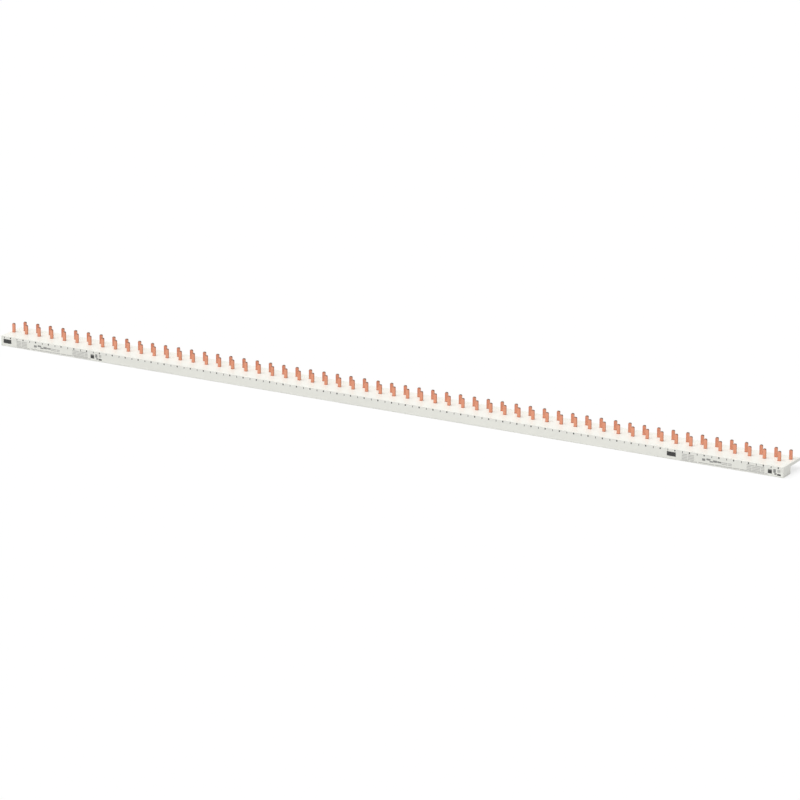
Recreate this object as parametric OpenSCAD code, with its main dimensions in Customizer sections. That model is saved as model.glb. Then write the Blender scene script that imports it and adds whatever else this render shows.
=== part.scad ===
// Comb busbar with two rows of pins, one stamped copper comb for each row.
// +X runs along the bar, the printed long side faces -Y, and the pins stand up along +Z.
// The origin is at the middle of the bar's footprint, on the underside of the deep box.

/* [Bar] */
// Distance between neighbouring pins of one row
module_pitch = 17.6; // [17.0:0.1:18.5]
// Number of pins in each row
pin_count = 57; // [4:1:57]
// How far each end stands past the last module
end_overhang = 0.8; // [0.5:0.1:1.5]
// Whole depth of the bar, front to rear
body_depth = 41.6; // [39:0.2:46]
// Whole height of the insulation, pins left out
body_height = 12.0; // [11.5:0.1:15]
// Depth of the deep box under the front of the bar
box_depth = 18.0; // [16.8:0.1:18.2]
// Rounding of the long lower edges
edge_radius = 1.0; // [0.5:0.1:1.2]

/* [Copper] */
// Thickness of the copper strip
strip_thickness = 2.2; // [1.8:0.1:2.3]
// Width of the current-carrying strip of each comb
strip_width = 8.0; // [6.5:0.1:8.4]
// Width of the flat tab between strip and pin
tab_width = 5.0; // [4.2:0.1:6.0]
// Width of a pin
pin_width = 3.4; // [2.8:0.1:3.8]
// Height of the pins above the top face
pin_height = 10.6; // [8:0.1:16]
// Inner radius of the bend at the foot of each pin
bend_radius = 0.6; // [0.4:0.1:0.8]
// Height of the narrowed tip of a pin
tip_height = 0.9; // [0.4:0.1:1.5]
// How much narrower the tip is on each side
tip_taper = 0.6; // [0.3:0.1:1.0]
// Left end of the bar to the first pin of the front row
first_pin_inset = 4.7; // [4.6:0.1:6.5]
// Front face to the middle of the front row
front_row_setback = 20.0; // [19.4:0.1:22]
// Middle of the front row to the middle of the rear row
row_spacing = 11.0; // [9:0.1:11.6]
// Sideways shift of the rear row against the front row
row_shift = 8.4; // [8:0.1:9.2]
// Free copper-to-cap distance at both ends
end_setback = 0.6; // [0.4:0.1:0.9]
// Free space between the strips and the wall in front of them
strip_gap = 0.3; // [0.1:0.1:0.5]
// Flat part of a lower tab before its joggle
joggle_lead = 0.8; // [0.6:0.1:1.2]

/* [Insulation] */
// Wall of the deep box
wall = 1.4; // [1.0:0.1:1.6]
// Skin under the flange's channel
flange_skin = 0.6; // [0.5:0.1:0.9]
// Thickness of the slotted cover
cover_thickness = 0.8; // [0.6:0.1:1.0]
// Thickness of the strip between the two combs
separator_thickness = 0.8; // [0.5:0.1:1.2]
// Rim behind the flange's channel
rim = 1.2; // [0.8:0.1:1.5]
// Ledge inside the rim that carries the cover
ledge = 1.2; // [0.8:0.1:1.5]
// Thickness of the ribs inside the profile
rib = 1.0; // [0.8:0.1:1.3]
// How far the floor ribs stand in from the edges of the lower strip
rib_inset = 1.5; // [0.5:0.1:2.0]
// Free space between the rear pins and the rib behind them
rib_clearance = 2.0; // [1.0:0.1:2.2]
// How far the seat of the cover leans in over its edge
snap_lean = 0.3; // [0.1:0.05:0.4]
// Free space around a pin in its window
window_gap = 0.25; // [0.15:0.05:0.4]
// Thickness of an end cap
cap_wall = 1.8; // [1.2:0.1:2.0]
// How deep the cap's spigots reach into the profile
spigot_length = 7.0; // [4:0.5:8]
// Side clearance of pieces that slide or snap into the profile
slide_gap = 0.1; // [0.05:0.05:0.2]

/* [Hidden] */
overall_length = module_pitch * pin_count + 2 * end_overhang;
profile_length = overall_length - 2 * cap_wall;
copper_length = profile_length - 2 * end_setback;
last_pin = pin_count - 1;

// Levels, from the underside up
cover_z = body_height - cover_thickness;
upper_strip_z = cover_z - strip_thickness;
separator_z = upper_strip_z - separator_thickness;
lower_strip_z = separator_z - strip_thickness;
flange_z = upper_strip_z - flange_skin;
tip_z = body_height + pin_height;

// Positions across the bar, from the front face back
strip_y = wall + strip_gap;
strip_end_y = strip_y + strip_width;
rear_row_setback = front_row_setback + row_spacing;
channel_end_y = body_depth - rim - ledge;
cover_rib_y = rear_row_setback + strip_thickness / 2 + rib_clearance;

// A joggle lifts the lower comb's tabs to the level of the flange
joggle_y = strip_end_y + joggle_lead;
joggle_rise = strip_thickness + separator_thickness;
joggle_miter = strip_thickness * tan(22.5);

// Two ribs on the floor of the box carry the lower strip
floor_rib_y = [strip_y + rib_inset, strip_end_y - rib_inset - rib];

// How far fused pieces reach into each other, and cuts reach past a face
lap = 1;

plastic = [0.93, 0.93, 0.91];
cap_plastic = [0.90, 0.90, 0.88];
copper = [0.85, 0.52, 0.38];
foil = [0.97, 0.97, 0.95];

// Puts a piece that is drawn from the left front lower corner into the bar's frame
module in_frame() {
    translate([-overall_length / 2, -body_depth / 2, 0]) children();
}

// Extrudes a section drawn as depth across and height up, along the bar
module along_bar(start, length) {
    translate([start, 0, 0]) rotate([90, 0, 90]) linear_extrude(height = length) children();
}

// Square corner with a round edge, to be cut off
module edge_cut(radius) {
    difference() {
        translate([-lap, -lap]) square([radius + lap, radius + lap]);
        translate([radius, radius]) circle(r = radius, $fn = 32);
    }
}

// Outline of the whole insulation: deep box in front, thin flange behind
module outline_section() {
    difference() {
        union() {
            square([box_depth, body_height]);
            translate([0, flange_z]) square([body_depth, body_height - flange_z]);
        }
        edge_cut(edge_radius);
        translate([box_depth, 0]) mirror([1, 0]) edge_cut(edge_radius);
        translate([body_depth, flange_z]) mirror([1, 0]) edge_cut(edge_radius / 2);
    }
}

// Section of the cover; its long edges lean in towards the top
module cover_section(gap) {
    left = wall + gap;
    right = body_depth - rim - gap;
    polygon([
        [left, cover_z],
        [right, cover_z],
        [right - snap_lean, body_height],
        [left + snap_lean, body_height]
    ]);
}

module profile_section() {
    difference() {
        outline_section();
        translate([wall, wall]) square([box_depth - 2 * wall, cover_z - wall]);
        translate([wall, upper_strip_z]) square([channel_end_y - wall, strip_thickness]);
        cover_section(0);
    }
    for (y = floor_rib_y) {
        translate([y, wall]) square([rib, lower_strip_z - wall]);
    }
    translate([cover_rib_y, upper_strip_z]) square([rib, strip_thickness]);
}

module insulating_profile() {
    color(plastic) in_frame() along_bar(cap_wall, profile_length) profile_section();
}

// Window for one pin, with room in front of it for the bend
module window(x, row_y) {
    front = row_y - strip_thickness / 2 - bend_radius - window_gap;
    rear = row_y + strip_thickness / 2 + window_gap;
    translate([x - pin_width / 2 - window_gap, front, cover_z - lap])
        cube([pin_width + 2 * window_gap, rear - front, cover_thickness + 2 * lap]);
}

module slotted_cover() {
    color(plastic) in_frame() difference() {
        along_bar(cap_wall, profile_length) cover_section(slide_gap);
        for (k = [0 : last_pin]) {
            x = first_pin_inset + k * module_pitch;
            window(x, front_row_setback);
            window(x + row_shift, rear_row_setback);
        }
    }
}

// Side view of the end of a tab, its quarter bend and the upright pin
module bent_pin_section(row_y) {
    bend_y = row_y - strip_thickness / 2 - bend_radius;
    bend_z = cover_z + bend_radius;
    outer = bend_radius + strip_thickness;
    translate([bend_y - lap, upper_strip_z]) square([lap, strip_thickness]);
    translate([bend_y, bend_z]) intersection() {
        difference() {
            circle(r = outer, $fn = 16);
            circle(r = bend_radius, $fn = 16);
        }
        translate([0, -outer]) square([outer, outer]);
    }
    translate([bend_y + bend_radius, bend_z])
        square([strip_thickness, tip_z - tip_height - bend_z]);
}

// Narrowed tip of a pin, seen from the front, with some of the straight pin under it
module tip_section() {
    polygon([
        [-pin_width / 2, -lap],
        [pin_width / 2, -lap],
        [pin_width / 2, 0],
        [pin_width / 2 - tip_taper, tip_height],
        [-pin_width / 2 + tip_taper, tip_height],
        [-pin_width / 2, 0]
    ]);
}

module bent_pin(x, row_y) {
    along_bar(x - pin_width / 2, pin_width) bent_pin_section(row_y);
    translate([x, row_y + strip_thickness / 2, tip_z - tip_height])
        rotate([90, 0, 0]) linear_extrude(height = strip_thickness) tip_section();
}

// Upper comb: its tabs run straight back to the front row
module front_comb() {
    tab_end = front_row_setback - strip_thickness / 2 - bend_radius;
    color(copper) in_frame() {
        translate([cap_wall + end_setback, strip_y, upper_strip_z])
            cube([copper_length, strip_width, strip_thickness]);
        for (k = [0 : last_pin]) {
            x = first_pin_inset + k * module_pitch;
            translate([x - tab_width / 2, strip_end_y - lap, upper_strip_z])
                cube([tab_width, tab_end - strip_end_y + lap, strip_thickness]);
            bent_pin(x, front_row_setback);
        }
    }
}

// Side view of a lower tab: off the strip, up the joggle, back to the bend
module joggled_tab_section() {
    tab_end = rear_row_setback - strip_thickness / 2 - bend_radius;
    polygon([
        [strip_end_y - lap, lower_strip_z],
        [joggle_y + joggle_miter, lower_strip_z],
        [joggle_y + joggle_miter + joggle_rise, upper_strip_z],
        [tab_end, upper_strip_z],
        [tab_end, cover_z],
        [joggle_y + joggle_rise, cover_z],
        [joggle_y, separator_z],
        [strip_end_y - lap, separator_z]
    ]);
}

// Lower comb: its tabs pass between those of the upper comb to the rear row
module rear_comb() {
    color(copper) in_frame() {
        translate([cap_wall + end_setback, strip_y, lower_strip_z])
            cube([copper_length, strip_width, strip_thickness]);
        for (k = [0 : last_pin]) {
            x = first_pin_inset + row_shift + k * module_pitch;
            along_bar(x - tab_width / 2, tab_width) joggled_tab_section();
            bent_pin(x, rear_row_setback);
        }
    }
}

module separator_strip() {
    front = wall + slide_gap;
    rear = joggle_y - slide_gap;
    color(foil) in_frame()
        translate([cap_wall, front, separator_z])
            cube([profile_length, rear - front, separator_thickness]);
}

// Cap with the outline of the bar and two spigots that push into the profile
module end_cap() {
    spigot_y = floor_rib_y[1] + rib + slide_gap;
    tongue_y = cover_rib_y + rib + slide_gap;
    along_bar(0, cap_wall) outline_section();
    translate([cap_wall, spigot_y, wall + slide_gap])
        cube([spigot_length, box_depth - wall - slide_gap - spigot_y,
              lower_strip_z - wall - 2 * slide_gap]);
    translate([cap_wall, tongue_y, upper_strip_z + slide_gap])
        cube([spigot_length, channel_end_y - slide_gap - tongue_y,
              strip_thickness - 2 * slide_gap]);
}

module left_end_cap() {
    color(cap_plastic) in_frame() end_cap();
}

module right_end_cap() {
    color(cap_plastic) in_frame() translate([overall_length, 0, 0]) mirror([1, 0, 0]) end_cap();
}

insulating_profile();
slotted_cover();
front_comb();
rear_comb();
separator_strip();
left_end_cap();
right_end_cap();
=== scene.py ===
import math

import bmesh
import bpy
from mathutils import Matrix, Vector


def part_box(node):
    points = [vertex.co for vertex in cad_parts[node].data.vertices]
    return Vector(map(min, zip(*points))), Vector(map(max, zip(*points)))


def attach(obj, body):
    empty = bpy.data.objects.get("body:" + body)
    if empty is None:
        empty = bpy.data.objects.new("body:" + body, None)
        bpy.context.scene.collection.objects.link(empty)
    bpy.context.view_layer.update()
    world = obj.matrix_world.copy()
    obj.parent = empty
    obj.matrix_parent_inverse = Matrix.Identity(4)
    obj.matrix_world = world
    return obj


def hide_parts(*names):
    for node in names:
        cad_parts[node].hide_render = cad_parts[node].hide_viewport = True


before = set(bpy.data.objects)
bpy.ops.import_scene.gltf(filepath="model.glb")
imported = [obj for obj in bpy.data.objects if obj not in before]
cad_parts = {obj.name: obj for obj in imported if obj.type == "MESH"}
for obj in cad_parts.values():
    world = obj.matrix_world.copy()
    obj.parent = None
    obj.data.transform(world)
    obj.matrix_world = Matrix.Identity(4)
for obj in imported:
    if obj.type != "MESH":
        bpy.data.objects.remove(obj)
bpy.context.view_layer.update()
scene = bpy.context.scene
mm = 0.001


# Camera: place in metres, angles in degrees, lens and sensor in millimetres.

cameraSettings = {
    "place": (2.61137, -4.52843, 1.60768),
    "yaw": 29.78,
    "pitch": 17.0455,
    "roll": 0.0449,
    "lens": 220.193,
    "sensor": 36,
    "clip": (0.1, 80),
}


def makeCamera(settings):
    data = bpy.data.cameras.new("studioCamera")
    data.sensor_width = settings["sensor"]
    data.lens = settings["lens"]
    data.clip_start, data.clip_end = settings["clip"]
    camera = bpy.data.objects.new("studioCamera", data)
    scene.collection.objects.link(camera)
    turn = Matrix.Rotation(math.radians(settings["yaw"]), 4, "Z")
    turn = turn @ Matrix.Rotation(math.radians(90 - settings["pitch"]), 4, "X")
    turn = turn @ Matrix.Rotation(math.radians(settings["roll"]), 4, "Z")
    camera.matrix_world = Matrix.Translation(settings["place"]) @ turn
    scene.camera = camera


makeCamera(cameraSettings)
print("camera placed")


# Materials. A scale is in waves a metre along the bar, across it and upwards.

def startMaterial(name, roughness, metallic=0.0):
    material = bpy.data.materials.new(name)
    material.use_nodes = True
    shader = material.node_tree.nodes["Principled BSDF"]
    shader.inputs["Roughness"].default_value = roughness
    shader.inputs["Metallic"].default_value = metallic
    return material, shader


def addNode(material, kind, inputs=None, **settings):
    node = material.node_tree.nodes.new(kind)
    for name, value in settings.items():
        setattr(node, name, value)
    for name, value in (inputs or {}).items():
        if isinstance(value, bpy.types.NodeSocket):
            material.node_tree.links.new(value, node.inputs[name])
        else:
            node.inputs[name].default_value = value
    return node


def connect(material, output, target):
    material.node_tree.links.new(output, target)


def noise(material, scale, detail, roughness=0.5):
    place = addNode(material, "ShaderNodeTexCoord").outputs["Object"]
    stretched = addNode(material, "ShaderNodeMapping", {"Vector": place, "Scale": scale})
    return addNode(material, "ShaderNodeTexNoise", {
        "Vector": stretched.outputs[0], "Scale": 1.0, "Detail": detail, "Roughness": roughness,
    }).outputs[0]


def ramp(material, factor, stops):
    node = addNode(material, "ShaderNodeValToRGB", {"Fac": factor})
    elements = node.color_ramp.elements
    while len(elements) < len(stops):
        elements.new(0.5)
    for element, (position, colour) in zip(elements, stops):
        element.position, element.color = position, (*colour, 1)
    return node.outputs[0]


def sums(material, operation, first, second=0.0, third=0.0, clamp=False):
    return addNode(material, "ShaderNodeMath", {0: first, 1: second, 2: third},
                   operation=operation, use_clamp=clamp).outputs[0]


def mask(material, value, slope, offset):  # a straight rise or fall, held between 0 and 1
    return sums(material, "MULTIPLY_ADD", value, slope, offset, True)


def blended(material, factor, first, second):
    node = addNode(material, "ShaderNodeMix", data_type="RGBA")
    factorSocket, firstSocket, secondSocket = (node.inputs[index] for index in (0, 6, 7))
    for socket, value in ((factorSocket, factor), (firstSocket, first), (secondSocket, second)):
        if isinstance(value, bpy.types.NodeSocket):
            connect(material, value, socket)
        else:
            socket.default_value = value if isinstance(value, float) else (*value, 1)
    return node.outputs[2]


def tinted(colour, share):
    return tuple(share * c for c in colour)


def addBump(material, shader, height, depth, strength, under=None):
    inputs = {"Height": height, "Distance": depth, "Strength": strength}
    if under is not None:
        inputs["Normal"] = under
    bump = addNode(material, "ShaderNodeBump", inputs).outputs[0]
    connect(material, bump, shader.inputs["Normal"])
    return bump


# 1 where no part of the normal is over 0.8, and 0 where one is over 0.967
edgeRamp = (-6.0, 5.8)


def edgeMask(material):  # broken edges and bends, whose normals lean between the axes
    normal = addNode(material, "ShaderNodeTexCoord").outputs["Normal"]
    parts = addNode(material, "ShaderNodeSeparateXYZ", {0: normal}).outputs
    largest = sums(material, "ABSOLUTE", parts[0])
    for part in parts[1:]:
        largest = sums(material, "MAXIMUM", largest, sums(material, "ABSOLUTE", part))
    return mask(material, largest, *edgeRamp)


extrudedSettings = {
    "light": (0.800, 0.800, 0.746),
    "shade": (0.775, 0.775, 0.723),
    "edgeTint": 1.03,
    "cloudScale": (9, 60, 60),
    "cloudDetail": 4,
    "cloudRange": (0.35, 0.65),
    "roughness": 0.42,
    "edgePolish": 0.12,
    "lineScale": (6, 1400, 1400),
    "lineDepth": 0.04 * mm,
    "lineStrength": 0.45,
    "lineDulling": 0.10,
    "grainScale": (2600, 2600, 2600),
    "grainDepth": 0.02 * mm,
    "grainStrength": 0.35,
}

mouldedSettings = {
    "light": extrudedSettings["light"],
    "shade": extrudedSettings["shade"],
    "edgeTint": 1.03,
    "cloudScale": (40, 40, 40),
    "cloudDetail": 3,
    "cloudRange": (0.3, 0.7),
    "roughness": 0.50,
    "edgePolish": 0.12,
    "grainScale": (1900, 1900, 1900),
    "grainDepth": 0.04 * mm,
    "grainStrength": 0.5,
}


def colourPlastic(material, shader, edges, settings):
    cloud = noise(material, settings["cloudScale"], settings["cloudDetail"])
    low, high = settings["cloudRange"]
    colour = ramp(material, cloud, [(low, settings["shade"]), (high, settings["light"])])
    worn = tinted(settings["light"], settings["edgeTint"])
    connect(material, blended(material, edges, colour, worn), shader.inputs["Base Color"])


def makeExtrudedPlastic(settings):  # rigid profile plastic, with faint draw lines along the bar
    material, shader = startMaterial("extrudedPlastic", settings["roughness"])
    edges = edgeMask(material)
    colourPlastic(material, shader, edges, settings)
    drawLines = noise(material, settings["lineScale"], 3, 0.6)
    grain = noise(material, settings["grainScale"], 2)
    lower = addBump(material, shader, drawLines, settings["lineDepth"], settings["lineStrength"])
    addBump(material, shader, grain, settings["grainDepth"], settings["grainStrength"], lower)
    dulling = settings["lineDulling"]
    gloss = sums(material, "MULTIPLY_ADD", drawLines, dulling, settings["roughness"] - dulling / 2)
    gloss = sums(material, "MULTIPLY_ADD", edges, -settings["edgePolish"], gloss)
    connect(material, gloss, shader.inputs["Roughness"])
    return material


def makeMouldedPlastic(settings):  # end caps: fine spark-eroded grain
    material, shader = startMaterial("mouldedPlastic", settings["roughness"])
    edges = edgeMask(material)
    colourPlastic(material, shader, edges, settings)
    gloss = sums(material, "MULTIPLY_ADD", edges, -settings["edgePolish"], settings["roughness"])
    connect(material, gloss, shader.inputs["Roughness"])
    grain = noise(material, settings["grainScale"], 3, 0.6)
    addBump(material, shader, grain, settings["grainDepth"], settings["grainStrength"])
    return material


copperSettings = {
    "rolled": (0.800, 0.352, 0.230),
    "rollShade": 0.82,
    "rollShare": 0.25,
    "rollScale": (90, 2600, 2600),
    "rollDepth": 0.02 * mm,
    "rollStrength": 0.5,
    "tarnish": (0.56, 0.20, 0.115),
    "tarnishScale": (160, 160, 160),
    "tarnishRamp": (2.2, -1.1),
    "tarnishShare": 0.5,
    "sheared": (0.700, 0.335, 0.212),
    "sideRamp": (4.0, -2.2),
    "tornShade": 0.72,
    "tornShare": 0.35,
    "tornStart": 0.35,
    "tearScale": (2400, 2400, 500),
    "tearDepth": 0.06 * mm,
    "tearStrength": 0.6,
    "edgeTint": 1.08,
    "edgeShare": 0.6,
    # painted dark reflection: the colour given to the tops of the pins in place of the dark
    # surround the bare copper would mirror there
    "tip": (0.120, 0.056, 0.036),
    "upRamp": (6.0, -2.4),
    "tipStart": 21.6 * mm,
    "tipHeight": 1.0 * mm,
    "tipBlend": 0.4,
    "tipMetalLoss": 0.65,
    "roughness": 0.34,
    "dulling": 0.16,
    "rollDulling": 0.08,
    "edgePolish": 0.08,
    "rowSpacing": 11 * mm,
    "rowStart": -1.9 * mm,
    "thickness": 2.2 * mm,
}


def makeCopper(settings):  # bright rolled faces, duller sheared edges, and a painted dark reflection on the pin tops
    material, shader = startMaterial("stampedCopper", settings["roughness"], 1.0)
    geometry = addNode(material, "ShaderNodeTexCoord")
    normal = addNode(material, "ShaderNodeSeparateXYZ", {0: geometry.outputs["Normal"]}).outputs
    place = addNode(material, "ShaderNodeSeparateXYZ", {0: geometry.outputs["Object"]}).outputs
    sideways = sums(material, "ABSOLUTE", normal[0])
    side = mask(material, sideways, *settings["sideRamp"])
    # painted dark reflection on the pin tops: upward faces above tipStart take it fully, and every
    # face fades into it towards the top of the pin
    up = mask(material, normal[2], *settings["upRamp"])
    high = sums(material, "GREATER_THAN", place[2], settings["tipStart"])
    rise = sums(material, "SUBTRACT", place[2], settings["tipStart"])
    blendRate = settings["tipBlend"] / settings["tipHeight"]
    rise = sums(material, "MULTIPLY", rise, blendRate, clamp=True)
    tip = sums(material, "MAXIMUM", sums(material, "MULTIPLY", up, high), rise)

    rollLines = noise(material, settings["rollScale"], 3, 0.6)
    rollMask = sums(material, "MULTIPLY", rollLines, settings["rollShare"])
    rolled = blended(material, rollMask, settings["rolled"],
                     tinted(settings["rolled"], settings["rollShade"]))
    stain = noise(material, settings["tarnishScale"], 4, 0.6)
    tarnish = mask(material, stain, *settings["tarnishRamp"])
    tarnish = sums(material, "MULTIPLY", tarnish, settings["tarnishShare"])
    rolled = blended(material, tarnish, rolled, settings["tarnish"])

    # a sheared edge is burnished where the punch entered and torn below that;
    # whole row spacings are added, so that the remainder is taken of a positive length
    start = settings["rowStart"] - 20 * settings["rowSpacing"]
    across = sums(material, "SUBTRACT", place[1], start)
    across = sums(material, "MODULO", across, settings["rowSpacing"])
    tornStart = settings["thickness"] * settings["tornStart"]
    torn = sums(material, "GREATER_THAN", across, tornStart)
    tornMask = sums(material, "MULTIPLY", torn, settings["tornShare"])
    sheared = blended(material, tornMask, settings["sheared"],
                      tinted(settings["sheared"], settings["tornShade"]))
    colour = blended(material, side, rolled, sheared)
    edges = edgeMask(material)
    colour = blended(material, sums(material, "MULTIPLY", edges, settings["edgeShare"]), colour,
                     tinted(settings["rolled"], settings["edgeTint"]))
    # the painted dark reflection is laid over all other colour on the pin tops
    colour = blended(material, tip, colour, settings["tip"])
    connect(material, colour, shader.inputs["Base Color"])
    # where the dark reflection is painted, the copper is made less metallic so that the painted
    # colour shows
    metal = sums(material, "MULTIPLY_ADD", tip, -settings["tipMetalLoss"], 1.0)
    connect(material, metal, shader.inputs["Metallic"])

    tears = noise(material, settings["tearScale"], 3, 0.7)
    tears = sums(material, "MULTIPLY", tears, side)
    lower = addBump(material, shader, rollLines, settings["rollDepth"], settings["rollStrength"])
    addBump(material, shader, tears, settings["tearDepth"], settings["tearStrength"], lower)
    dull = sums(material, "MAXIMUM", side, tip)
    gloss = sums(material, "MULTIPLY_ADD", dull, settings["dulling"], settings["roughness"])
    gloss = sums(material, "MULTIPLY_ADD", rollLines, settings["rollDulling"], gloss)
    gloss = sums(material, "MULTIPLY_ADD", edges, -settings["edgePolish"], gloss)
    connect(material, gloss, shader.inputs["Roughness"])
    return material


inkSettings = {
    "colours": {
        "darkInk": (0.026, 0.026, 0.025),
        "greyInk": (0.250, 0.250, 0.240),
        "paleInk": (0.500, 0.497, 0.470),
    },
    "under": 0.78,
    "showThrough": 0.1,
    "thinRange": (0.30, 0.45),
    "roughness": 0.5,
    "lineStrength": 0.4,
}


def makeInk(name, colour, settings, plastic):  # pad print on the plastic, thin in places
    material, shader = startMaterial(name, settings["roughness"])
    coverage = noise(material, plastic["grainScale"], 2)
    share = settings["showThrough"]
    thin = tuple((1 - share) * c + share * settings["under"] for c in colour)
    low, high = settings["thinRange"]
    printed = ramp(material, coverage, [(low, thin), (high, colour)])
    connect(material, printed, shader.inputs["Base Color"])
    drawLines = noise(material, plastic["lineScale"], 3, 0.6)
    addBump(material, shader, drawLines, plastic["lineDepth"], settings["lineStrength"])
    return material


extrudedPlastic = makeExtrudedPlastic(extrudedSettings)
mouldedPlastic = makeMouldedPlastic(mouldedSettings)
stampedCopper = makeCopper(copperSettings)
inkNames = list(inkSettings["colours"])
inks = [makeInk(name, inkSettings["colours"][name], inkSettings, extrudedSettings)
        for name in inkNames]
print("materials made")


# Finished copies of the CAD pieces, with their fine edge breaks. Angles in degrees.

copySettings = {
    "mergeDistance": 0.002 * mm,
    "flatAngle": 0.2,
    "breakAngle": 40,
}


def mergedCopy(nodeName):
    mesh = bmesh.new()
    mesh.from_mesh(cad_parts[nodeName].data)
    bmesh.ops.remove_doubles(mesh, verts=mesh.verts, dist=copySettings["mergeDistance"])
    bmesh.ops.dissolve_limit(mesh, angle_limit=math.radians(copySettings["flatAngle"]),
                             use_dissolve_boundaries=False,
                             verts=mesh.verts, edges=mesh.edges, delimit=set())
    return mesh


def finishPiece(mesh, name, nodeName, materials, settings):
    data = bpy.data.meshes.new(name)
    mesh.to_mesh(data)
    mesh.free()
    for material in materials:
        data.materials.append(material)
    piece = bpy.data.objects.new(name, data)
    scene.collection.objects.link(piece)
    bevel = piece.modifiers.new("edgeBreak", "BEVEL")
    bevel.width, bevel.segments = settings["edgeBreak"], settings["segments"]
    bevel.limit_method = "ANGLE"
    bevel.angle_limit = math.radians(copySettings["breakAngle"])
    bevel.harden_normals = True
    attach(piece, "root")
    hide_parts(nodeName)


# Profile, printed on the long front side: plain ticks over the pins and plain fields near
# both ends. Lengths of the print are in millimetres.

profileSettings = {
    "edgeBreak": 0.12 * mm,
    "segments": 2,
}

barSettings = {
    "leftEnd": -502.4,
    "pitch": 17.6,
    "count": 57,
    "firstPin": 4.7,
    "rowShift": 8.4,
    "top": 12.0,
}

tickSettings = {
    "boldWidth": 1.45,
    "boldHeight": 1.8,
    "boldBelow": 0.6,
    "thinWidth": 0.75,
    "thinHeight": 2.0,
    "thinBelow": 0.75,
}

# plain fields: start along the bar, length, top below the upper edge, height, ink
# ruled fields: start, end, top of the first row, rows, bar lengths that repeat along a row
fieldSettings = {
    "starts": (-1.4, 861.0),
    "plain": [
        (0.2, 10.8, 3.4, 4.9, "darkInk"),
        (42.6, 3.8, 4.8, 2.6, "greyInk"),
        (47.8, 4.8, 4.2, 2.0, "greyInk"),
        (51.6, 4.0, 6.4, 1.5, "greyInk"),
        (55.8, 4.6, 5.0, 2.4, "greyInk"),
        (60.8, 4.8, 5.4, 1.8, "greyInk"),
        (120.8, 4.8, 4.1, 1.2, "greyInk"),
        (120.8, 4.8, 5.3, 3.6, "darkInk"),
        (127.2, 3.0, 3.4, 4.0, "greyInk"),
        (128.6, 2.6, 7.6, 2.0, "greyInk"),
        (132.0, 3.6, 3.4, 3.2, "paleInk"),
        (131.9, 4.2, 8.2, 1.9, "darkInk"),
    ],
    "ruled": [
        (18.2, 33.0, 3.3, 4, (6.4, 7.6)),
        (38.4, 120.6, 9.6, 1, (11.0, 7.4, 9.2)),
        (18.2, 36.8, 10.0, 1, (8.6, 5.2)),
        (66.0, 78.4, 5.6, 2, (7.0, 4.6)),
        (95.6, 116.8, 3.1, 4, (9.4, 10.8, 6.0)),
    ],
    "ruledInk": "paleInk",
    "rowHeight": 1.05,
    "rowPitch": 1.7,
    "barGap": 0.7,
}

# how squarely a face looks forward and how near the front it lies to be printed, how far
# it reaches past a cut to be cut, how near the cut a corner is taken onto it, and to how
# many decimals two cuts are one; all lengths in metres
cutSettings = {
    "facing": 0.999,
    "nearFront": 1e-5,
    "pastCut": 1e-6,
    "onCut": 1e-7,
    "decimals": 7,
}


def ruledBars(settings):
    bars = []
    height, ink = settings["rowHeight"], settings["ruledInk"]
    for start, end, top, rows, lengths in settings["ruled"]:
        count = 0
        for row in range(rows):
            along = start
            while along < end - 2 * settings["barGap"]:
                length = min(lengths[count % len(lengths)], end - along)
                bars.append((along, length, top + row * settings["rowPitch"], height, ink))
                along += length + settings["barGap"]
                count += 1
    return bars


def printMarks():
    bar, ticks = barSettings, tickSettings
    firstPin = bar["leftEnd"] + bar["firstPin"]
    marks = []
    for index in range(bar["count"]):
        for shift, kind in ((0, "thin"), (bar["rowShift"], "bold")):
            middle = firstPin + shift + index * bar["pitch"]
            half = ticks[kind + "Width"] / 2
            top = bar["top"] - ticks[kind + "Below"]
            low = top - ticks[kind + "Height"]
            marks.append((middle - half, middle + half, low, top, "darkInk"))
    fields = fieldSettings["plain"] + ruledBars(fieldSettings)
    for start in fieldSettings["starts"]:
        for along, length, below, height, ink in fields:
            left = firstPin + start + along
            top = bar["top"] - below
            marks.append((left, left + length, top - height, top, ink))
    return [tuple(v * mm for v in mark[:4]) + (mark[4],) for mark in marks]


def cutFaces(mesh, faces, place, direction):
    parts = set(faces)
    for face in faces:
        parts.update(face.edges, face.verts)
    bmesh.ops.bisect_plane(mesh, geom=list(parts), dist=cutSettings["onCut"],
                           plane_co=place, plane_no=direction)


def frontFaces(mesh, front, left=-1.0, right=1.0):
    found = []
    for face in mesh.faces:
        middle = face.calc_center_bounds()
        facing = face.normal.y < -cutSettings["facing"]
        near = abs(middle.y - front) < cutSettings["nearFront"]
        if facing and near and left < middle.x < right:
            found.append(face)
    return found


def reachesPast(face, x):
    along = [vert.co.x for vert in face.verts]
    return min(along) < x - cutSettings["pastCut"] and max(along) > x + cutSettings["pastCut"]


def makePrintedProfile():
    mesh = mergedCopy("insulating_profile")
    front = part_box("insulating_profile")[0].y
    marks = printMarks()
    cuts = {round(x, cutSettings["decimals"]) for mark in marks for x in mark[:2]}
    for x in sorted(cuts):
        faces = [face for face in frontFaces(mesh, front) if reachesPast(face, x)]
        cutFaces(mesh, faces, (x, 0, 0), (1, 0, 0))
    for left, right, low, high, ink in marks:
        for z in (low, high):
            cutFaces(mesh, frontFaces(mesh, front, left, right), (0, 0, z), (0, 0, 1))
    for face in frontFaces(mesh, front):
        middle = face.calc_center_bounds()
        for left, right, low, high, ink in marks:
            if left < middle.x < right and low < middle.z < high:
                face.material_index = 1 + inkNames.index(ink)
    finishPiece(mesh, "printedProfile", "insulating_profile",
                [extrudedPlastic, *inks], profileSettings)


makePrintedProfile()
print("profile printed")


# Cover, pins, caps and separator.

coverSettings = {
    "edgeBreak": 0.10 * mm,
    "segments": 1,
}

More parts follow.
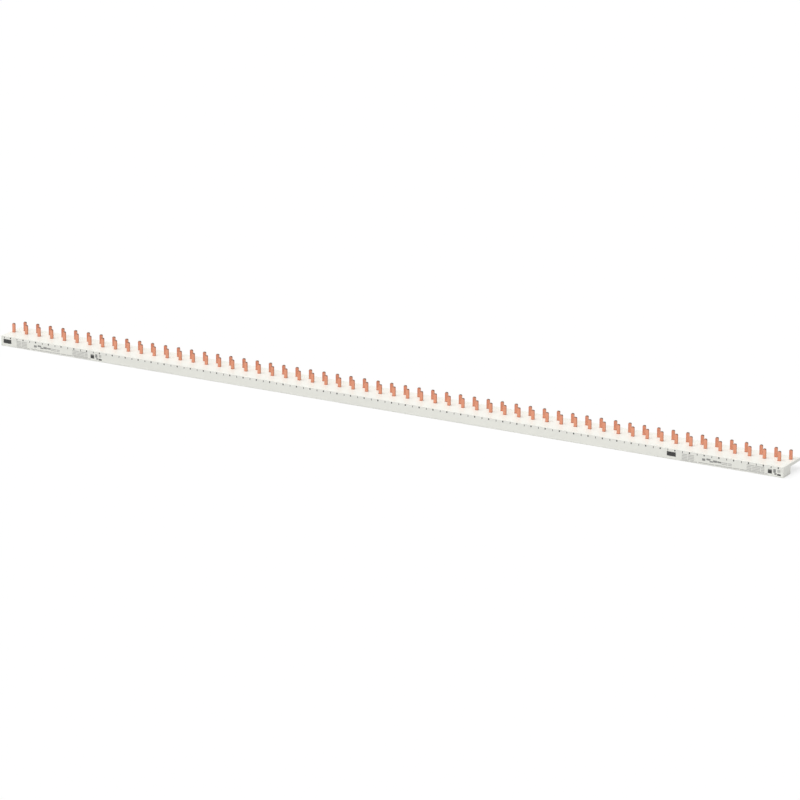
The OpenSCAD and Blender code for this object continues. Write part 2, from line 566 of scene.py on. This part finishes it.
finishPiece(mergedCopy("slotted_cover"), "windowedCover", "slotted_cover",
            [extrudedPlastic], coverSettings)

pinSettings = {
    "edgeBreak": 0.16 * mm,
    "segments": 2,
}

for combNode, pinsName in (("front_comb", "frontPins"), ("rear_comb", "rearPins")):
    finishPiece(mergedCopy(combNode), pinsName, combNode,
                [stampedCopper], pinSettings)

capSettings = {
    "edgeBreak": 0.18 * mm,
    "segments": 2,
}

for capNode, capName in (("left_end_cap", "leftCap"), ("right_end_cap", "rightCap")):
    finishPiece(mergedCopy(capNode), capName, capNode,
                [mouldedPlastic], capSettings)

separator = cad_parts["separator_strip"]
separator.data.materials.clear()
separator.data.materials.append(mouldedPlastic)
print("pieces finished")


# Floor and light. Angles in degrees, lengths in metres.

studioSettings = {
    "floorSize": 30.0,
    "floorDrop": 0.05 * mm,
    "floorColour": (0.86, 0.86, 0.86),
    "floorGlow": 0.68,
    "ambient": 0.44,
    "keyStrength": 2.45,
    "keySoftness": 60.0,
    "keyTurn": (14.0, -14.0, 0.0),
}


def seenDirectly(tree):  # 1 for camera, mirror and glass rays
    paths = tree.nodes.new("ShaderNodeLightPath").outputs
    total = paths["Is Camera Ray"]
    for name in ("Is Glossy Ray", "Is Transmission Ray"):
        node = tree.nodes.new("ShaderNodeMath")
        node.operation = "MAXIMUM"
        tree.links.new(total, node.inputs[0])
        tree.links.new(paths[name], node.inputs[1])
        total = node.outputs[0]
    return total


def makeFloorWhite(settings):
    material = bpy.data.materials.new("floorWhite")
    material.use_nodes = True
    tree = material.node_tree
    tree.nodes.clear()
    output = tree.nodes.new("ShaderNodeOutputMaterial")
    matt = tree.nodes.new("ShaderNodeBsdfDiffuse")
    matt.inputs["Color"].default_value = (*settings["floorColour"], 1)
    glow = tree.nodes.new("ShaderNodeEmission")
    mix = tree.nodes.new("ShaderNodeMixShader")
    share = tree.nodes.new("ShaderNodeMath")
    share.operation = "MULTIPLY"
    share.inputs[1].default_value = settings["floorGlow"]
    tree.links.new(seenDirectly(tree), share.inputs[0])
    tree.links.new(share.outputs[0], mix.inputs[0])
    tree.links.new(matt.outputs[0], mix.inputs[1])
    tree.links.new(glow.outputs[0], mix.inputs[2])
    tree.links.new(mix.outputs[0], output.inputs["Surface"])
    return material


def makeFloor(settings):
    mesh = bmesh.new()
    bmesh.ops.create_grid(mesh, x_segments=1, y_segments=1, size=settings["floorSize"])
    bmesh.ops.translate(mesh, verts=mesh.verts, vec=(0, 0, -settings["floorDrop"]))
    data = bpy.data.meshes.new("studioFloor")
    mesh.to_mesh(data)
    mesh.free()
    data.materials.append(makeFloorWhite(settings))
    floor = bpy.data.objects.new("studioFloor", data)
    scene.collection.objects.link(floor)


def makeLight(settings):
    world = bpy.data.worlds.new("studioWorld")
    scene.world = world
    world.use_nodes = True
    tree = world.node_tree
    background = tree.nodes["Background"]
    background.inputs["Color"].default_value = (1, 1, 1, 1)
    strength = tree.nodes.new("ShaderNodeMapRange")
    strength.inputs["To Min"].default_value = settings["ambient"]
    strength.inputs["To Max"].default_value = 1.0
    tree.links.new(seenDirectly(tree), strength.inputs["Value"])
    tree.links.new(strength.outputs[0], background.inputs["Strength"])
    data = bpy.data.lights.new("keyLight", "SUN")
    data.energy = settings["keyStrength"]
    data.angle = math.radians(settings["keySoftness"])
    lamp = bpy.data.objects.new("keyLight", data)
    lamp.rotation_euler = [math.radians(v) for v in settings["keyTurn"]]
    scene.collection.objects.link(lamp)


makeFloor(studioSettings)
makeLight(studioSettings)
scene.view_settings.view_transform = "Standard"
print("studio lit")
